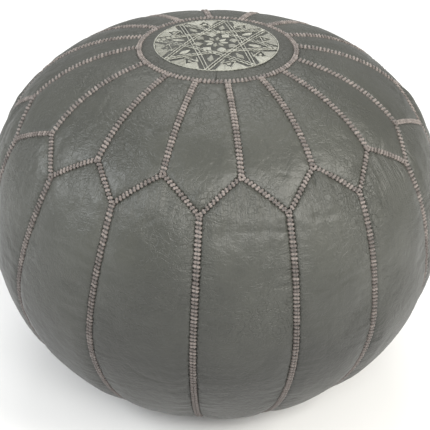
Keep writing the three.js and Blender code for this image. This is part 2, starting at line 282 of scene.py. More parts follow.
def petal_edges(k):
    """The seams round petal k, in order: seam k, both edges of its point, seam k + 1, the ring."""
    return [
        straight(ring_point(k), shoulder_point(k)),
        gable(k, k + 1),
        gable(k + 1, k + 1)[::-1],
        straight(shoulder_point(k + 1), ring_point(k + 1)),
        circle(turned(ring_turn, k + 1), turned(ring_turn, k), RING),
    ]


def side_edges(k):
    """Those round side panel k: an edge of the gable, seam k, the base seam, seam k + 1, the other edge."""
    left, right = side_seam(k), side_seam(k + 1)
    return [
        gable(k, k),
        left,
        circle(left[-1, 0], right[-1, 0], 0.0),
        right[::-1],
        gable(k, k + 1)[::-1],
    ]


# ---------------- mesh helpers
def new_object(name, points, faces, smooth=True):
    mesh = bpy.data.meshes.new(name)
    mesh.from_pydata([tuple(p) for p in points], [], [tuple(f) for f in faces])
    mesh.validate()
    if smooth:
        mesh.shade_smooth()
    obj = bpy.data.objects.new(name, mesh)
    bpy.context.scene.collection.objects.link(obj)
    return obj


def bands(count, size, first=0, loop=False):
    """Quads that join rings of points, each ring closed on itself, from one ring to the next."""
    faces = []
    for i in range(count if loop else count - 1):
        a, b = first + i * size, first + (i + 1) % count * size
        faces += [(a + j, a + (j + 1) % size, b + (j + 1) % size, b + j) for j in range(size)]
    return faces


def caps(count, size, first=0):
    """The faces that close the first and the last of such rings."""
    last = first + (count - 1) * size
    return [tuple(range(first, first + size)), tuple(range(last, last + size))[::-1]]


def tidy_normals(obj):
    mesh = bmesh.new()
    mesh.from_mesh(obj.data)
    bmesh.ops.recalc_face_normals(mesh, faces=mesh.faces)
    mesh.to_mesh(obj.data)
    mesh.free()


def thicken(obj, thickness):
    sheet = obj.modifiers.new("thickness", "SOLIDIFY")
    sheet.thickness, sheet.offset = thickness, -1


def place_in_frame(obj, material, node=None):
    """Gives a piece its material and slot, fixes it to the cover, and lets it stand for a CAD node."""
    obj.data.materials.append(material)
    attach(obj, "cover")
    if node:
        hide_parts(node)


def attribute(obj, name, values):
    layer = obj.data.attributes.new(name, "FLOAT", "POINT")
    layer.data.foreach_set("value", np.asarray(values, np.float32))


def uv_from(obj, name, points):
    """A UV map from one (u, v) for each vertex."""
    layer = obj.data.uv_layers.new(name=name)
    loops = np.empty(len(obj.data.loops), np.int32)
    obj.data.loops.foreach_get("vertex_index", loops)
    layer.data.foreach_set("uv", np.asarray(points, np.float32)[loops].ravel())


def resample(points, step):
    """Points every step along a line, and the distance of each."""
    lengths = np.concatenate([[0], np.cumsum(np.linalg.norm(np.diff(points, axis=0), axis=1))])
    count = max(2, int(round(lengths[-1] / step)) + 1)
    at = np.linspace(0, lengths[-1], count)
    return np.stack([np.interp(at, lengths, points[:, i]) for i in range(points.shape[1])], -1), at


# ---------------- distances in a panel's flat chart
def chart(line, middle):
    """A seam line in a panel's flat chart: metres across from the panel's middle turn, and reach."""
    return np.stack([(line[:, 0] - middle) * radius_at(line[:, 1]), line[:, 1]], -1)


def closed(line):
    return np.vstack([line, line[:1]])


def from_line(points, line, batch=1000):
    """Distance of each point from a line, and how far along the line its nearest place is."""
    a, d = line[:-1], np.diff(line, axis=0)
    size = np.maximum((d**2).sum(1), 1e-14)
    starts = np.concatenate([[0], np.cumsum(np.sqrt(size))[:-1]])
    away, along = np.empty(len(points)), np.empty(len(points))
    for first in range(0, len(points), batch):
        chunk = points[first : first + batch]
        t = np.clip(((chunk[:, None] - a) * d).sum(2) / size, 0, 1)
        gaps = np.linalg.norm(chunk[:, None] - (a + t[..., None] * d), axis=2)
        i = gaps.argmin(1)
        rows = np.arange(len(chunk))
        away[first : first + batch] = gaps[rows, i]
        along[first : first + batch] = starts[i] + t[rows, i] * np.sqrt(size[i])
    return away, along


def inside(points, polygon):
    x, y = points[:, 0][:, None], points[:, 1][:, None]
    (x1, y1), (x2, y2) = polygon.T, np.roll(polygon, -1, 0).T
    crosses = (y1 > y) != (y2 > y)
    with np.errstate(divide="ignore", invalid="ignore"):
        cut = (x2 - x1) * (y - y1) / (y2 - y1) + x1
    return (crosses & (x < cut)).sum(1) % 2 == 1


def inset(polygon, gaps, step):
    """A closed convex outline moved in by a gap at each point, as points every step, anticlockwise."""
    x, y = polygon.T
    if np.sum(x * np.roll(y, -1) - np.roll(x, -1) * y) < 0:
        polygon, gaps = polygon[::-1], gaps[::-1]
    ahead = np.roll(polygon, -2, 0) - np.roll(polygon, 2, 0)
    normal = np.stack([-ahead[:, 1], ahead[:, 0]], -1)
    moved = polygon + gaps[:, None] * normal / np.linalg.norm(normal, axis=1)[:, None]
    away, _ = from_line(moved, closed(polygon))
    moved = moved[away > 0.9 * gaps]
    return resample(closed(moved), step)[0][:-1]


def flat_mesh(border, step, rng):
    """Even triangles over the inside of a closed line. The border's points come first."""
    (left, bottom), (right, top) = border.min(0), border.max(0)
    grid = []
    for i, y in enumerate(np.arange(bottom, top, step * math.sqrt(3) / 2)):
        xs = np.arange(left + (i % 2) * step / 2, right, step)
        grid.append(np.stack([xs, np.full(len(xs), y)], -1))
    grid = np.concatenate(grid)
    grid += rng.uniform(-0.12, 0.12, grid.shape) * step
    grid = grid[inside(grid, border)]
    away, _ = from_line(grid, closed(border))
    points = np.concatenate([border, grid[away > 0.6 * step]])
    made = delaunay_2d_cdt([Vector(p) for p in points], [], [list(range(len(border)))], 1, 1e-9)
    return np.array([tuple(p) for p in made[0]]), made[2]


# ---------------- leather panels
def start_panel(name, edges, habits, rng):
    """A panel's flat mesh. habits holds each edge's width, and how strongly and how far it creases."""
    middle = float(np.mean([e[:, 0].mean() for e in edges]))
    seams = [chart(e, middle) for e in edges]
    whole = np.concatenate([s[:-1] for s in seams])
    gaps = np.concatenate([np.full(len(s) - 1, INSET * h[0]) for s, h in zip(seams, habits)])
    border = inset(whole, gaps, GRAIN)
    flat, faces = flat_mesh(border, GRAIN, rng)
    away, _ = from_line(flat, closed(border))
    return {
        "name": name, "middle": middle, "seams": seams, "whole": whole, "flat": flat, "faces": faces,
        "held": np.flatnonzero(away < 1e-6), "away": away, "habits": habits,
        "share": PETAL_SHARE if habits is PETAL_HABITS else 1.0,
    }


def place_of(panel, flat):
    return panel["middle"] + flat[:, 0] / radius_at(flat[:, 1]), flat[:, 1]


def inflate(panels):
    """Puffs the panels out by a cloth simulation, each held along its edges. Gives each panel its rise."""
    starts, normals, faces, held, first = [], [], [], [], 0
    for p in panels:
        points, out = on_cover(*place_of(p, p["flat"]), SEAM_DEPTH)
        starts.append(points)
        normals.append(out)
        faces += [[first + i for i in f] for f in p["faces"]]
        held += [int(first + i) for i in p["held"]]
        first += len(points)
    starts, normals = np.concatenate(starts), np.concatenate(normals)
    obj = new_object("cover_simulation", starts, faces)
    obj.vertex_groups.new(name="seams").add(held, 1.0, "REPLACE")
    cloth = obj.modifiers.new("cloth", "CLOTH")
    cloth.settings.vertex_group_mass = "seams"
    for name, value in CLOTH.items():
        setattr(cloth.settings, name, value)
    cloth.settings.effector_weights.gravity = 0
    cloth.collision_settings.use_collision = False
    cloth.point_cache.frame_start, cloth.point_cache.frame_end = 1, CLOTH_FRAMES
    for number in range(1, CLOTH_FRAMES + 1):
        bpy.context.scene.frame_set(number)
    shape = obj.evaluated_get(bpy.context.evaluated_depsgraph_get()).data
    after = np.empty(len(starts) * 3, np.float32)
    shape.vertices.foreach_get("co", after)
    rise = ((after.reshape(-1, 3) - starts) * normals).sum(1)
    bpy.data.objects.remove(obj)
    bpy.context.scene.frame_set(1)
    rise = np.clip(rise * CROWN / np.percentile(rise, 99), 0, 1.1 * CROWN)
    first = 0
    for p in panels:
        p["rise"] = p["share"] * rise[first : first + len(p["flat"])]
        first += len(p["flat"])


def waver(along, step, rng):
    """Smooth random heights of about unit size at places along a line."""
    knots = rng.standard_normal(int(np.max(along) / step) + 3)
    i = (along / step).astype(int)
    t = along / step - i
    t = t * t * (3 - 2 * t)
    return knots[i] * (1 - t) + knots[i + 1] * t


def rolling(points, size, rng):
    """Soft random hills over 3D points, about one across each size."""
    total = np.zeros(len(points))
    for _ in range(7):
        way = rng.standard_normal(3)
        way *= 2 * math.pi / size / np.linalg.norm(way) * rng.uniform(0.5, 1.1)
        total += np.sin(points @ way + rng.uniform(0, 2 * math.pi))
    return total / 2.6


def refine(panel):
    """The panel's chart and rise at twice the density, as quads."""
    points = np.column_stack([panel["flat"], panel["rise"]])
    obj = new_object("refined", points, panel["faces"])
    obj.modifiers.new("finer", "SUBSURF").levels = 1
    mesh = obj.evaluated_get(bpy.context.evaluated_depsgraph_get()).data
    fine = np.empty(len(mesh.vertices) * 3, np.float32)
    mesh.vertices.foreach_get("co", fine)
    faces = [tuple(f.vertices) for f in mesh.polygons]
    bpy.data.objects.remove(obj)
    fine = fine.reshape(-1, 3).astype(float)
    return fine[:, :2], fine[:, 2], faces


def relief(panel, flat, rng):
    """Heights that the simulation's mesh is too coarse for, and what the material's hair creases follow.

    These are a place along a seam, the distance from it, and how hard it tucks the leather in.
    """
    points, _ = on_cover(*place_of(panel, flat), 0)
    seams = [from_line(flat, seam) for seam in panel["seams"]]
    widths = [width for width, _, _ in panel["habits"]]
    seams = [(np.maximum(away - INSET * width, 0), place) for (away, place), width in zip(seams, widths)]
    gap = np.min([away for away, _ in seams], axis=0)
    height = panel["share"] * LIP * (1 - np.exp(-gap / LIP_REACH))
    height += HILLS * rolling(points, HILL_SIZE, rng) * np.clip(gap / 12 / MM, 0, 1)
    hangs = np.array([fade > LONG_TUCK for _, _, fade in panel["habits"]])
    pulls, places = [], []
    for number, ((away, place), (_, strength, fade)) in enumerate(zip(seams, panel["habits"])):
        if hangs[number]:
            place = flat[:, 0] - flat[:, 0].min()
        patches = np.clip(waver(place, PATCH_SIZE, rng) * 0.5 + 0.55, 0.15, 1.25)
        reach = (6 * MM + 0.35 * fade) * np.clip(1 + waver(place, 22 * MM, rng), 0.4, 2.5)
        pull = patches * np.exp(-away / reach) * (1 - np.exp(-away / 2.5 / MM))
        size = LONG_CREASE if hangs[number] else CREASE
        height += pull * size * (waver(place, 4.5 * MM, rng) + 0.9 * waver(place, 10 * MM, rng))
        pulls.append(strength * patches * np.exp(-away / fade))
        places.append(place if hangs[number] else place + number)
    height -= soft_creases(flat, hangs.any(), rng)

    # The seam that pulls hardest decides, and its pull fades out where another's is as strong.
    # Two seams that hang straight down have the same places, so they don't compete.
    order = np.argsort(pulls, axis=0)
    pulls, rows = np.array(pulls), np.arange(len(flat))
    first, second = order[-1], order[-2]
    second = np.where(hangs[first] & hangs[second], order[-3], second)
    tuck, rival = pulls[first, rows], pulls[second, rows]
    tuck = tuck * np.clip((tuck - rival) / (0.5 * tuck + 1e-6), 0, 1)
    away = np.array([away for away, _ in seams])[first, rows]
    return height, np.array(places)[first, rows], away, tuck


def soft_creases(flat, is_side, rng):
    """Depths of a few bent creases, and on a side panel of one to three wider folds across it."""
    low, high = flat.min(0), flat.max(0)
    creases = []  # middle, angle, then length, depth and width in millimetres
    for _ in range(int(rng.integers(4, 9))):
        middle, angle = rng.uniform(low, high), rng.uniform(0, math.pi)
        creases.append((middle, angle, rng.uniform(15, 45), rng.uniform(0.2, 0.6), 1.8))
    if is_side:
        for _ in range(int(rng.integers(1, 4))):
            middle = np.array([rng.uniform(-20, 20) * MM, high[1] - rng.triangular(35, 60, 200) * MM])
            angle = rng.uniform(-0.25, 0.25)
            creases.append((middle, angle, rng.uniform(25, 60), rng.uniform(0.3, 0.8), 3.0))
    depths = np.zeros(len(flat))
    for middle, angle, length, depth, wide in creases:
        bend = rng.uniform(-1, 1)
        across = np.array([[math.cos(angle), -math.sin(angle)], [math.sin(angle), math.cos(angle)]])
        local = (flat - middle) @ across / MM
        off = local[:, 1] - bend * local[:, 0] ** 2 / 80
        depths += depth * MM * np.exp(-((off / wide) ** 2) - (local[:, 0] / length) ** 2)
    return depths


def leather_panel(panel, refined, material, rng):
    flat, rise, faces = refined
    extra, along, away, tuck = relief(panel, flat, rng)
    points, normals = on_cover(*place_of(panel, flat), SEAM_DEPTH + TUCKED)
    obj = new_object(panel["name"] + "_leather", points + normals * (rise + extra)[:, None], faces)
    uv_from(obj, "seam", np.stack([along, away], -1))
    attribute(obj, "tuck", tuck)
    thicken(obj, LEATHER)
    place_in_frame(obj, material, panel["name"])


# ---------------- seams
def run_of(line, step, loop=False):
    """Even places along a seam line on the cover: points, outward normals, directions, all across."""
    points, _ = on_cover(line[:, 0], line[:, 1], SEAM_DEPTH)
    lengths = np.concatenate([[0], np.cumsum(np.linalg.norm(np.diff(points, axis=0), axis=1))])
    count = max(3, int(round(lengths[-1] / step)))
    at = (np.arange(count) + (0 if loop else 0.5)) * lengths[-1] / count
    places = np.stack([np.interp(at, lengths, line[:, i]) for i in (0, 1)], -1)
    here, normals = on_cover(places[:, 0], places[:, 1], SEAM_DEPTH)
    ahead = np.stack([np.interp(at + 2 * MM, lengths, points[:, i]) for i in range(3)], -1)
    behind = np.stack([np.interp(at - 2 * MM, lengths, points[:, i]) for i in range(3)], -1)
    along = ahead - behind
    along /= np.linalg.norm(along, axis=1)[:, None]
    across = np.cross(normals, along)
    return here, normals, along, across


def tubes(paths, sideways, radii, sides):
    """One mesh of many tubes. paths is (tubes, points, 3), and sideways a direction across each tube."""
    count, steps = paths.shape[:2]
    run = np.gradient(paths, axis=1)
    run /= np.linalg.norm(run, axis=2)[..., None]
    one = sideways[:, None] - (sideways[:, None] * run).sum(2)[..., None] * run
    one /= np.linalg.norm(one, axis=2)[..., None]
    two = np.cross(run, one)
    turn = np.arange(sides) * 2 * math.pi / sides
    ring = np.cos(turn)[:, None] * one[:, :, None] + np.sin(turn)[:, None] * two[:, :, None]
    points = paths[:, :, None] + ring * np.broadcast_to(radii, (count, steps))[..., None, None]
    first = (np.arange(count) * steps * sides)[:, None, None]
    row = (np.arange(steps - 1) * sides)[None, :, None]
    a = first + row + np.arange(sides)
    b = first + row + (np.arange(sides) + 1) % sides
    faces = np.stack([a, b, b + sides, a + sides], -1).reshape(-1, 4).tolist()
    start = np.arange(count)[:, None] * steps * sides
    faces += (start + np.arange(sides)[::-1]).tolist()
    faces += (start + (steps - 1) * sides + np.arange(sides)).tolist()
    return points.reshape(-1, 3), faces


def uneven(kind, count):
    return rng.uniform(-UNEVEN[kind], UNEVEN[kind], (count, 1))


def stitch_paths(line, width, loop=False):
    """Whip stitches over a seam: each crosses it from one panel's edge to the other's."""
    here, normals, along, across = run_of(line, STITCH_PITCH, loop)
    count = len(here)
    here = here + along * uneven("place", count) * MM
    wide = width * (1 + uneven("width", count))
    lift = uneven("lift", count)
    slant = SLANT + uneven("slant", count)
    u, h = np.array(STITCH_SHAPE).T
    paths = here[:, None] + (
        across[:, None] * (u * wide)[..., None]
        + normals[:, None] * (h + lift)[..., None]
        + along[:, None] * (slant * u / u.max())[..., None]
    ) * MM
    return paths, along


def sewn(name, runs, node, material, rng):
    """All the stitches of some seams, as one piece. Each run is (line, width, whether it is a loop)."""
    made = [stitch_paths(line, width, loop) for line, width, loop in runs]
    paths = np.concatenate([m[0] for m in made])
    along = np.concatenate([m[1] for m in made])
    u = np.abs(np.array(STITCH_SHAPE)[:, 0])
    radii = THREAD * (0.92 + 0.18 * np.exp(-(((u - 1.9) / 0.9) ** 2)))  # thickest on its two shoulders
    radii = radii[None] * (1 + uneven("thickness", len(paths)))
    points, faces = tubes(paths, along, radii, THREAD_SIDES)
    obj = new_object(name, points, faces)
    attribute(obj, "strand", np.repeat(rng.uniform(0, 1, len(paths)), paths.shape[1] * THREAD_SIDES))
    place_in_frame(obj, material, node)


def welt(name, runs, material):
    """The two panels' turned edges, which the stitches bind together: a strip along each seam."""
    points, faces, first = [], [], 0
    section = np.array(WELT_SHAPE) * MM
    for line, width, loop in runs:
        here, normals, _, across = run_of(line, WELT_STEP, loop)
        rings = here[:, None] + across[:, None] * section[:, :1] * width + normals[:, None] * section[:, 1:]
        points.append(rings.reshape(-1, 3))
        faces += bands(len(here), len(section), first, loop)
        if not loop:
            faces += caps(len(here), len(section), first)
        first += len(here) * len(section)
    obj = new_object(name, np.concatenate(points), faces)
    tidy_normals(obj)
    place_in_frame(obj, material)


# ---------------- the medallion
CROWN_HALF = _angles > 0


def crown_reach(radius):
    """How far up the outline a radius of the crown lies."""
    return np.interp(-np.asarray(radius, float), -_radii[CROWN_HALF], _reaches[CROWN_HALF])


def medallion_rise(reach):
    gap = np.maximum(reach - RING - INSET * RING_WIDTH, 0)
    return LIP * (1 - np.exp(-gap / LIP_REACH)) + MEDALLION_CROWN * np.clip(gap / (TOP - RING), 0, 1) ** 0.7


def on_medallion(x, y, lift=0.0):
    """A point of the medallion's leather over plan place (x, y), lifted, and its normal."""
    reach = crown_reach(np.hypot(x, y))
    return on_cover(np.arctan2(x, -y), reach, SEAM_DEPTH + TUCKED - medallion_rise(reach) - lift)


def medallion_leather(material, rng):
    rows, columns = 56, 256
    start = RING + INSET * RING_WIDTH
    reaches = start + (TOP - start) * np.linspace(0, 1, rows, endpoint=False) ** 1.25
    turns = np.arange(columns) * 2 * math.pi / columns
    turn, reach = np.meshgrid(turns, reaches)
    gap = reach - start
    pull = np.exp(-gap / 7 / MM) * (1 - np.exp(-gap / 2.5 / MM))
    waves = sum(
        rng.uniform(0.3, 1) * np.sin(turns * n + rng.uniform(0, 6.3)) for n in rng.integers(20, 80, 8)
    )
    under, normals = on_cover(turn, reach, SEAM_DEPTH + TUCKED)
    hills = 0.4 * MM * rolling(under.reshape(-1, 3), 60 * MM, rng).reshape(gap.shape)
    rise = medallion_rise(reach) + 0.22 * MM * pull * waves + hills * np.clip(gap / 8 / MM, 0, 1)
    points = (under + normals * rise[..., None]).reshape(-1, 3)
    top, _ = on_medallion(0.0, -1e-6)
    points = np.vstack([points, top.reshape(1, 3)])
    last = (rows - 1) * columns
    faces = bands(rows, columns)
    faces += [(last + j, last + (j + 1) % columns, len(points) - 1) for j in range(columns)]
    obj = new_object("medallion_leather", points, faces)
    away = np.append((reach - RING).ravel(), TOP - RING)
    uv_from(obj, "seam", np.stack([np.append(turn.ravel() * RING_SEAM, 0), away], -1))
    attribute(obj, "tuck", 0.5 * np.exp(-away / 12 / MM))
    thicken(obj, LEATHER)
    place_in_frame(obj, material, "top_medallion")


def at(radius, degrees):
    """A plan point of the star pattern, in a disc of radius 1, turned as the star is."""
    turn = math.radians(degrees) + STAR_TURN
    return np.array([radius * math.sin(turn), -radius * math.cos(turn)])


def star_cells():
    """The eight-pointed star's satin areas: each one's outline and the direction of its threads."""
    cells = []
    for j in range(STAR_POINTS):
        tip, middle = STAR_PITCH * j, STAR_PITCH * (j + 0.5)
        rim = [at(STAR_RIM, tip + a) for a in np.linspace(7, 22.5, 6)]
        other = [at(STAR_RIM, tip + a) for a in np.linspace(22.5, 38, 6)]
        notch = at(0.62, middle)
        peak, left, right = at(0.93, middle), at(0.755, middle - 9.5), at(0.755, middle + 9.5)
        # The space outside the star, in two halves round a dark triangle with a pale dot.
        cells.append(([*rim, peak, left, notch], tip + 8))
        cells.append(([*other[::-1], peak, right, notch], tip + 37))
        cells.append(([at(0.825, middle + 1.6), at(0.785, middle + 2.2), at(0.785, middle - 2.2),
                       at(0.825, middle - 1.6)], middle))
        # A long lozenge in each point of the star.
        cells.append(([at(0.73, tip), at(0.63, tip + 5.2), at(0.50, tip), at(0.63, tip - 5.2)], tip + 90))
        # Kites and petals round the middle.
        cells.append(([at(0.39, middle), at(0.31, middle + 17), at(0.215, middle + 4),
                       at(0.29, middle - 15)], middle + 40))
        cells.append(([at(0.20, tip), at(0.13, tip + 17), at(0.05, tip), at(0.13, tip - 17)], tip + 90))
    return cells


def star_lines():
    """The star's double outlines, and the thin lines round its dark triangles, as plan lines."""
    lines = []
    for j in range(STAR_POINTS):
        a, b = at(STAR_RIM, STAR_PITCH * j), at(STAR_RIM, STAR_PITCH * (j + 3))
        side = np.array([-(b - a)[1], (b - a)[0]]) / np.linalg.norm(b - a)
        for offset in (-0.026, 0.026):
            lines.append([a * 0.99 + side * offset, b * 0.99 + side * offset])
        middle = STAR_PITCH * (j + 0.5)
        triangle = [at(0.93, middle), at(0.755, middle - 9.5), at(0.755, middle + 9.5), at(0.93, middle)]
        lines += [[triangle[i], triangle[i + 1]] for i in range(3)]
    lines.append([at(0.99, a) for a in np.linspace(0, 360, 97)])
    return lines


def satin(outline_points, degrees, spacing, rng):
    """Parallel strands that fill a plan outline. Gives each strand's two ends."""
    turn = math.radians(degrees) + STAR_TURN
    way = np.array([math.sin(turn), -math.cos(turn)])
    side = np.array([-way[1], way[0]])
    p = np.array(outline_points)
    offsets, runs = p @ side, p @ way
    strands = []
    for level in np.arange(offsets.min() + spacing * 0.4, offsets.max(), spacing):
        cuts = []
        for i in range(len(p)):
            a, b = offsets[i], offsets[(i + 1) % len(p)]
            if (a > level) != (b > level):
                share = (level - a) / (b - a)
                cuts.append(runs[i] + share * (runs[(i + 1) % len(p)] - runs[i]))
        cuts.sort()
        for low, high in zip(cuts[::2], cuts[1::2]):
            if high - low > spacing:
                near, far = rng.uniform(-0.25, 0.25, 2) * spacing
                strands.append((side * level + way * (low + near), side * level + way * (high + far)))
    return strands


def embroidery(material, rng):
    disc = EMBROIDERY * RING_SEAM
    arch = np.array(SATIN_ARCH) * MM
    steps = np.linspace(0, 1, len(arch))
    paths, sideways, sizes, sheen_and_tones = [], [], [], []

    def lay(a, b, lifts, size, shade):
        plan = (a + (b - a) * steps[:, None]) * disc
        points, normals = on_medallion(plan[:, 0] + OFF_CENTRE, plan[:, 1])
        paths.append(points + normals * (lifts + GROUND_LIFT)[:, None])
        side = np.cross(normals[len(arch) // 2], points[-1] - points[0])
        sideways.append(side / np.linalg.norm(side))
        sizes.append(size)
        sheen_and_tones.append(shade)

    strands = []
    for cell, degrees in star_cells():
        painted_sheen = 0.5 + 0.4 * math.cos(math.radians(2 * degrees - 50))  # a painted sheen: each cell painted lighter or darker by its threads' direction to the light
        strands += [(a, b, painted_sheen) for a, b in satin(cell, degrees, SATIN_PITCH / disc, rng)]
    for a, b, painted_sheen in strands:
        lay(a, b, arch + rng.uniform(-0.05, 0.08) * MM, SATIN_PITCH * 0.56, painted_sheen + rng.uniform(-0.2, 0.2))
    for line in star_lines():
        for a, b in zip(line[:-1], line[1:]):
            count = max(1, int(round(np.linalg.norm(b - a) / LINE_STITCH * disc)))
            for i in range(count):
                start, stop = a + (b - a) * (i + 0.03) / count, a + (b - a) * (i + 0.97) / count
                lay(start, stop, arch * 0.9 + 0.2 * MM, LINE_THREAD, rng.uniform(0.3, 1))
    points, faces = tubes(np.array(paths), np.array(sideways), np.array(sizes)[:, None], SATIN_SIDES)
    obj = new_object("medallion_embroidery_thread", points, faces)
    # Each strand's shade: on the satin a painted sheen by direction plus a random tone, on the lines a
    # random tone.
    attribute(obj, "strand", np.repeat(sheen_and_tones, len(arch) * SATIN_SIDES))
    place_in_frame(obj, material, "medallion_embroidery")


def embroidery_ground(material):
    """The dark disc that the threads lie on, its rim bent down into the leather."""
    rows, columns, rim_drop = 24, 96, 0.6 * MM
    turn = np.arange(columns) * 2 * math.pi / columns
    points = []
    for i in range(rows):
        size = EMBROIDERY * RING_SEAM * (i + 1) / rows
        lift = GROUND_LIFT - (rim_drop if i == rows - 1 else 0)
        points.append(on_medallion(size * np.sin(turn) + OFF_CENTRE, -size * np.cos(turn), lift)[0])
    faces = [f[::-1] for f in bands(rows, columns)] + [tuple(range(columns))]
    obj = new_object("medallion_ground", np.concatenate(points), faces)
    tidy_normals(obj)
    thicken(obj, 0.4 * MM)
    place_in_frame(obj, material)


# ---------------- base, zip and inside
def base_height(radius):
    """The base's underside: flat on the floor in the middle, rising in a curve to the base seam."""
    rim_radius, rim_height, _ = outline(angle_at(BASE_SEAM, -1), SEAM_DEPTH)
    share = np.clip((radius - CONTACT) / (float(rim_radius) - CONTACT), 0, 1.2)
    return float(rim_height) * share**1.35


def base_half(name, side, material, rng):
    """Half of the base, with its cut edge turned up into the zip's channel."""
    rim_radius = float(outline(angle_at(BASE_SEAM, -1), SEAM_DEPTH)[0]) - INSET
    half, channel = CHANNEL_LONG / 2, CHANNEL_WIDE / 2
    start = math.asin(BASE_GAP / rim_radius)
    turns = np.linspace(start, math.pi - start, 260)
    arc = [(rim_radius * math.cos(a), rim_radius * math.sin(a)) for a in turns]
    corner = [(half + 1.5 * MM, BASE_GAP), (half, BASE_GAP + 2 * MM), (half, channel)]
    cut = [(-x, y) for x, y in corner] + corner[::-1]
    border, _ = resample(np.array(arc + cut + arc[:1]), BASE_GRAIN)
    border = border[:-1] * [1, side]
    if side < 0:
        border = border[::-1]
    flat, faces = flat_mesh(border, BASE_GRAIN, rng)
    radius = np.hypot(flat[:, 0], flat[:, 1])
    hills = 0.5 * MM * np.abs(rolling(np.column_stack([flat, 0 * radius]), 50 * MM, rng))
    height = base_height(radius) + hills * np.clip((radius - CONTACT) / 20 / MM, 0, 1) + LEATHER
    points = [tuple(p) for p in np.column_stack([flat, height])]
    faces = [tuple(f[::-1]) for f in faces]
    first = len(points)
    xs = np.linspace(-half, half, 60)
    wobble = 0.25 * MM * waver(xs + half, 12 * MM, rng)
    for x, sway in zip(xs, wobble):
        points += [(x, side * (y * MM + sway * (y < 10)), z * MM) for y, z in FOLD]
    faces += bands(len(xs), len(FOLD), first) + caps(len(xs), len(FOLD), first)
    obj = new_object(name + "_leather", points, faces)
    tidy_normals(obj)
    folded = np.ones(len(points) - first)
    away = np.append(np.maximum(rim_radius - radius, 0) + INSET, 30 * MM * folded)
    around = np.append(np.arctan2(flat[:, 1], flat[:, 0]) * rim_radius, 0 * folded)
    uv_from(obj, "seam", np.stack([around, away], -1))
    attribute(obj, "tuck", np.exp(-away / 12 / MM))
    thicken(obj, LEATHER)
    place_in_frame(obj, material, name)


def inner_and_outer(low, high):
    """The Y of a zip part's edge beside the middle, and of its other edge."""
    return (low.y, high.y) if low.y > 0 else (high.y, low.y)


def zip_tape(name, material):
    """A woven tape with a beaded edge beside the teeth."""
    low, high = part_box(name)
    inner, outer = inner_and_outer(low, high)
    middle, half = (low.z + high.z) / 2, (high.z - low.z) / 2
    points = []
    xs, width = np.linspace(low.x, high.x, 120), outer - inner
    for i, x in enumerate(xs):
        sway = 0.12 * MM * math.sin(i * 0.9)
        points += [(x, inner + width * a, middle + half * b * 0.66 + sway * a) for a, b in TAPE_SHAPE]
    faces = bands(len(xs), len(TAPE_SHAPE)) + caps(len(xs), len(TAPE_SHAPE))
    obj = new_object(name + "_woven", points, faces)
    tidy_normals(obj)
    place_in_frame(obj, material, name)


def zip_teeth(name, material):
    """A row of moulded teeth, each a rounded block with a nib that reaches between the other row's."""
    low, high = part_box(name)
    count = int((high.x - low.x) / TOOTH_PITCH)
    start = low.x + (high.x - low.x - count * TOOTH_PITCH) / 2 + (0 if low.y > 0 else TOOTH_PITCH / 2)
    middle, tall = (low.z + high.z) / 2, (high.z - low.z) / 2
    inner, outer = inner_and_outer(low, high)
    tooth = len(TOOTH_LEVELS), len(TOOTH_SHAPE)
    points, faces = [], []
    for i in range(count):
        x = start + (i + 0.25) * TOOTH_PITCH
        first = len(points)
        for level, long, wide in TOOTH_LEVELS:
            for a, b in TOOTH_SHAPE:
                y = inner + (outer - inner) * (0.5 + (a - 0.5) * wide)
                points.append((x + b * long * TOOTH_PITCH, y, middle + tall * level))
        faces += bands(*tooth, first) + caps(*tooth, first)
    obj = new_object(name + "_row", points, faces, smooth=False)
    tidy_normals(obj)
    place_in_frame(obj, material, name)


def turned_bag(name, depth, floor, mouth, ripple, folds, rng):
    """A bag a depth inside the cover, flat at the bottom, with soft folds and a mouth there."""
    angles = np.linspace(math.pi / 2 - 0.02, angle_at(BASE_SEAM, -1), 60)
    radii, heights, _ = outline(angles, depth)
    profile = list(zip(radii, heights))
    corner = profile[-1]
    for share in np.linspace(0, 1, 14)[1:]:
        radius = corner[0] + (mouth - corner[0]) * share
        profile.append((radius, floor + (corner[1] - floor) * max(0, 1 - share * 1.6) ** 2))
    columns = 160
    turns = np.arange(columns) * 2 * math.pi / columns
    shape = sum(rng.uniform(0.4, 1) * np.sin(turns * n + rng.uniform(0, 6.3)) for n in folds) / len(folds)
    points = []
    for radius, height in profile:
        low = np.clip((WAIST_HEIGHT * 1.3 - height) / WAIST_HEIGHT, 0, 1)
        reach = radius * (1 - ripple * (0.35 + low) * (0.5 + 0.5 * shape))
        points += [(r * math.sin(t), -r * math.cos(t), height) for r, t in zip(reach, turns)]
    top, bottom = caps(len(profile), columns)
    faces = [f[::-1] for f in bands(len(profile), columns)] + [top]
    if mouth < 1 * MM:
        faces.append(bottom)
    obj = new_object(name, points, faces)
    tidy_normals(obj)
    return obj


def inner_liner(material, rng):
    obj = turned_bag("liner_bag", LINER_DEPTH, LINER_FLOOR, LINER_MOUTH, 0.008, (11, 17, 23, 31), rng)
    thicken(obj, LINER_CLOTH)
    place_in_frame(obj, material, "inner_liner")


def stuffing(material, rng):
    obj = turned_bag("stuffing_fill", FILL_DEPTH, FILL_FLOOR, 0.5 * MM, 0.02, (5, 9, 14), rng)
    place_in_frame(obj, material, "stuffing")


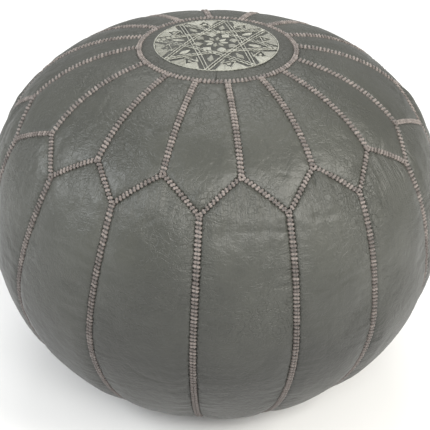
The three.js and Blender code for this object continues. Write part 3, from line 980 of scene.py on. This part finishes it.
# ---------------- materials
class Nodes:
    """Shorthand for building one material's nodes."""

    def __init__(self, name):
        self.material = bpy.data.materials.new(name)
        self.material.use_nodes = True
        self.tree = self.material.node_tree
        self.shader = self.tree.nodes["Principled BSDF"]

    def give(self, socket, value):
        if isinstance(value, bpy.types.NodeSocket):
            self.tree.links.new(value, socket)
        else:
            socket.default_value = value

    def make(self, kind, **inputs):
        node = self.tree.nodes.new(kind)
        for key, value in inputs.items():
            self.give(node.inputs[key.replace("_", " ")], value)
        return node

    def by_place(self, kind, operation, *values):
        """A math node, its inputs given by their place."""
        node = self.tree.nodes.new(kind)
        node.operation = operation
        for socket, value in zip(node.inputs, values):
            self.give(socket, value)
        return node.outputs[0]

    def math(self, operation, *values):
        return self.by_place("ShaderNodeMath", operation, *values)

    def vector(self, operation, *values):
        return self.by_place("ShaderNodeVectorMath", operation, *values)

    def attribute(self, name):
        node = self.tree.nodes.new("ShaderNodeAttribute")
        node.attribute_name = name
        return node.outputs["Fac"]

    def place(self):
        return self.tree.nodes.new("ShaderNodeTexCoord").outputs["Object"]

    def axis(self, vector, number):
        return self.make("ShaderNodeSeparateXYZ", Vector=vector).outputs[number]

    def noise(self, vector, scale, detail=2.0, rough=0.5):
        inputs = {"Vector": vector, "Scale": scale, "Detail": detail, "Roughness": rough}
        return self.make("ShaderNodeTexNoise", **inputs).outputs[0]

    def cells(self, vector, scale, feature="F1"):
        node = self.make("ShaderNodeTexVoronoi", Vector=vector, Scale=scale)
        node.feature = feature
        return node.outputs["Distance"]

    def mixed(self, a, b, share):
        """Two values together, b with a share of the weight."""
        return self.math("ADD", self.math("MULTIPLY", a, 1 - share), self.math("MULTIPLY", b, share))

    def lowered(self, value, vector, height, fall):
        """A value that drops below a height, by this much a metre."""
        low = self.math("SMOOTH_MIN", self.axis(vector, 2), height, 0.05)
        return self.math("MULTIPLY_ADD", self.math("SUBTRACT", low, height), fall, value)

    def ramp(self, factor, stops):
        """stops is a list of (place, colour)."""
        node = self.make("ShaderNodeValToRGB", Fac=factor)
        elements = node.color_ramp.elements
        while len(elements) < len(stops):
            elements.new(0.5)
        for element, (place, colour) in zip(elements, stops):
            element.position = place
            element.color = (*colour, 1)
        return node.outputs[0]

    def bumped(self, layers):
        """layers is a list of (height, distance in metres)."""
        normal = None
        for height, distance in layers:
            node = self.make("ShaderNodeBump", Height=height, Distance=distance)
            if normal is not None:
                self.give(node.inputs["Normal"], normal)
            normal = node.outputs[0]
        self.give(self.shader.inputs["Normal"], normal)

    def set(self, **inputs):
        for key, value in inputs.items():
            self.give(self.shader.inputs[key.replace("_", " ")], value)
        return self.material


def leather(name, dark, light, wrinkles=True):
    """Vegetable-tanned sheepskin: cloudy dye, fine grain, hair creases drawn in towards the seams, and
    painted shade that darkens it lower down.
    """
    n = Nodes(name)
    place = n.place()
    pores = n.noise(place, 620, 3, 0.6)
    shade = n.mixed(n.noise(place, 9, 4, 0.6), pores, 0.25)
    middle = tuple((a + b) / 2 for a, b in zip(dark, light))
    # deep is the colour of the painted shade near the floor.
    deep = tuple(0.45 * a for a in dark)
    stops = [(0.02, deep), (0.34, dark), (0.5, middle), (0.68, light)]
    # Painted shade: below a height the leather is painted darker, where less light falls.
    colour = n.ramp(n.lowered(shade, place, PAINTED_SHADE_HEIGHT, PAINTED_SHADE_FALL), stops)
    folds = n.noise(place, 70, 5, 0.62)
    warp = n.make("ShaderNodeTexNoise", Vector=place, Scale=40, Detail=2).outputs[1]
    bent = n.vector("MULTIPLY_ADD", warp, (0.03, 0.03, 0.03), place)
    cracks = n.math("SMOOTH_MIN", n.cells(bent, 170, "DISTANCE_TO_EDGE"), 0.10, 0.05)
    cracks = n.math("MULTIPLY", cracks, n.math("SUBTRACT", n.noise(place, 14, 2), 0.35))
    layers = [(folds, 0.0017), (cracks, 0.012), (n.cells(place, 780), 0.00012), (pores, 0.00014)]
    if wrinkles:
        seam = n.tree.nodes.new("ShaderNodeUVMap")
        seam.uv_map = "seam"
        hairs = n.noise(n.vector("MULTIPLY", seam.outputs[0], (300, 40, 1)), 1, 4, 0.65)
        layers.append((n.math("MULTIPLY", n.math("SUBTRACT", hairs, 0.5), n.attribute("tuck")), 0.0045))
    n.bumped(layers)
    roughness = n.math("MULTIPLY_ADD", n.noise(place, 24, 3), 0.14, 0.33)
    return n.set(Base_Color=colour, Roughness=roughness, Specular_IOR_Level=0.55, IOR=1.5)


def thread(name, dark, light, rough, sheen):
    """Twisted thread, each strand its own shade (on the embroidery partly a painted sheen), painted darker
    lower down as shade.
    """
    n = Nodes(name)
    place = n.place()
    fluff = n.noise(place, 900, 3, 0.7)
    # Painted shade: the thread is painted darker lower down.
    shade = n.lowered(n.mixed(n.attribute("strand"), fluff, 0.6), place, THREAD_SHADE_HEIGHT, THREAD_SHADE_FALL)
    n.bumped([(fluff, 0.00025), (n.noise(place, 2600, 2), 0.00012)])
    colour = n.ramp(shade, [(0.25, dark), (0.8, light)])
    return n.set(Base_Color=colour, Roughness=rough, Sheen_Weight=sheen, Sheen_Roughness=0.4)


def woven(name, dark, light, scale):
    """A plain weave seen close, from two crossed waves."""
    n = Nodes(name)
    place = n.place()
    a, b = (n.math("SINE", n.math("MULTIPLY", n.axis(place, i), scale)) for i in (0, 1))
    weave = n.math("MULTIPLY_ADD", n.math("MULTIPLY", a, b), 0.5, 0.5)
    n.bumped([(weave, 0.0002)])
    colour = n.ramp(n.mixed(weave, n.noise(place, 300, 3), 0.4), [(0.2, dark), (0.8, light)])
    return n.set(Base_Color=colour, Roughness=0.9)


def metal(name):
    """Antique brass plating, rubbed brighter in places."""
    n = Nodes(name)
    place = n.place()
    wear = n.noise(place, 160, 4, 0.6)
    n.bumped([(n.noise(n.vector("MULTIPLY", place, (200, 2600, 2600)), 1, 2), 0.00003)])
    colour = n.ramp(wear, [(0.3, (0.22, 0.17, 0.10)), (0.7, (0.46, 0.38, 0.24))])
    return n.set(Base_Color=colour, Metallic=1.0, Roughness=n.math("MULTIPLY_ADD", wear, -0.16, 0.42))


def fibre(name):
    """Loose cotton."""
    n = Nodes(name)
    tufts = n.noise(n.place(), 60, 5, 0.7)
    n.bumped([(tufts, 0.004)])
    colour = n.ramp(tufts, [(0.3, (0.55, 0.52, 0.46)), (0.7, (0.8, 0.78, 0.72))])
    return n.set(Base_Color=colour, Roughness=0.95)


def floor_paint():
    n = Nodes("pale_floor")
    colour = n.ramp(n.noise(n.place(), 3, 2), [(0.3, (0.83, 0.83, 0.83)), (0.7, (0.85, 0.85, 0.85))])
    return n.set(Base_Color=colour, Roughness=0.7)


# ---------------- camera, light, floor
def stage():
    camera = bpy.data.objects.new("camera", bpy.data.cameras.new("camera"))
    bpy.context.scene.collection.objects.link(camera)
    camera.data.lens, camera.data.sensor_width = LENS, 36
    back = Vector((0, -math.cos(CAMERA_RISE), math.sin(CAMERA_RISE)))
    right = Vector((1, 0, 0))
    up = back.cross(right)
    cos, sin = math.cos(CAMERA_ROLL), math.sin(CAMERA_ROLL)
    right, up = right * cos + up * sin, up * cos - right * sin
    turn = Matrix((right, up, back)).transposed().to_4x4()
    camera.matrix_world = Matrix.Translation(CAMERA_AIM + back * CAMERA_REACH) @ turn
    bpy.context.scene.camera = camera

    world = bpy.data.worlds.new("studio")
    world.use_nodes = True
    sky = world.node_tree.nodes["Background"].inputs
    sky["Color"].default_value = (1.0, 1.0, 0.99, 1)
    sky["Strength"].default_value = AMBIENT
    bpy.context.scene.world = world
    for name, place, size, power, colour in LAMPS:
        lamp = bpy.data.lights.new(name, "AREA")
        lamp.shape, lamp.size, lamp.size_y = "RECTANGLE", *size
        lamp.energy, lamp.color = power, colour
        obj = bpy.data.objects.new(name, lamp)
        obj.location = place
        obj.rotation_euler = (LAMP_AIM - Vector(place)).to_track_quat("-Z", "Y").to_euler()
        bpy.context.scene.collection.objects.link(obj)
    corners = [(FLOOR_HALF * x, FLOOR_HALF * y, 0) for x, y in ((-1, -1), (1, -1), (1, 1), (-1, 1))]
    floor = new_object("floor", corners, [(0, 1, 2, 3)], smooth=False)
    floor.data.materials.append(floor_paint())
    bpy.context.scene.view_settings.view_transform = "Standard"


# ---------------- everything together
def panels_and_seams():
    cover = leather("cover_leather", (0.0360, 0.0372, 0.0310), (0.060, 0.0615, 0.0520))
    edge = leather("edge_leather", (0.042, 0.038, 0.034), (0.075, 0.068, 0.062), wrinkles=False)
    seam = thread("seam_thread", (0.092, 0.077, 0.071), (0.245, 0.211, 0.193), rough=0.62, sheen=0.25)
    panels = []
    kinds = (("petal", petal_edges, PETAL_HABITS), ("side_panel", side_edges, SIDE_HABITS))
    for kind, edges, habits in kinds:
        panels += [start_panel(f"{kind}_{k + 1:02d}", edges(k), habits, rng) for k in range(PANELS)]
    inflate(panels)
    refined = [refine(panel) for panel in panels]  # before any other object is there to slow it down
    for panel, fine in zip(panels, refined):
        leather_panel(panel, fine, cover, rng)

    ring_runs = [(circle(0, 2 * math.pi, RING), RING_WIDTH, True)]
    crown_runs = [(straight(ring_point(k), shoulder_point(k)), PETAL_WIDTH, False) for k in range(PANELS)]
    for side in (0, 1):  # the edges on one side of the petals' points, then those on the other
        crown_runs += [(gable(k, k + side), GABLE_WIDTH, False) for k in range(PANELS)]
    side_runs = [(side_seam(k), SIDE_WIDTH, False) for k in range(PANELS)]
    side_runs.append((circle(0, 2 * math.pi, 0.0), SIDE_WIDTH, True))
    sewn("ring_stitches", ring_runs, "medallion_ring_cord", seam, rng)
    sewn("petal_stitches", crown_runs, "petal_seam_cord", seam, rng)
    sewn("side_stitches", side_runs, "side_seam_cord", seam, rng)
    welt("crown_welts", ring_runs + crown_runs, edge)
    welt("side_welts", side_runs, edge)


def medallion():
    top = leather("medallion_leather", (0.036, 0.037, 0.031), (0.059, 0.060, 0.051))
    ground = leather("medallion_ground", (0.026, 0.027, 0.022), (0.046, 0.047, 0.040), wrinkles=False)
    floss = thread("embroidery_thread", (0.11, 0.11, 0.092), (0.43, 0.43, 0.375), rough=0.42, sheen=0.2)
    medallion_leather(top, rng)
    embroidery(floss, rng)
    embroidery_ground(ground)


def base_and_zip():
    # The base lies wholly below the painted shade's height, so it is painted darker all over.
    under = leather("base_leather", (0.060, 0.062, 0.053), (0.092, 0.094, 0.082))
    for name, side in (("left", 1), ("right", -1)):
        base_half(f"base_half_{name}", side, under, rng)
        zip_tape(f"zip_tape_{name}", woven(f"tape_{name}", (0.05, 0.05, 0.045), (0.11, 0.11, 0.10), 9000))
        zip_teeth(f"zip_teeth_{name}", metal(f"teeth_{name}"))
    brass = metal("zip_metal")
    for name in ("zip_bottom_stop", "zip_top_stop", "zip_slider", "zip_pull_tab"):
        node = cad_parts[name]
        node.data.materials.clear()
        node.data.materials.append(brass)
        bevel = node.modifiers.new("rounded", "BEVEL")
        bevel.width, bevel.segments, bevel.limit_method = 0.25 * MM, 2, "ANGLE"


stage()
panels_and_seams()
medallion()
base_and_zip()
inner_liner(woven("liner_cotton", (0.60, 0.57, 0.50), (0.78, 0.75, 0.68), 5000), rng)
stuffing(fibre("stuffing_fibre"), rng)
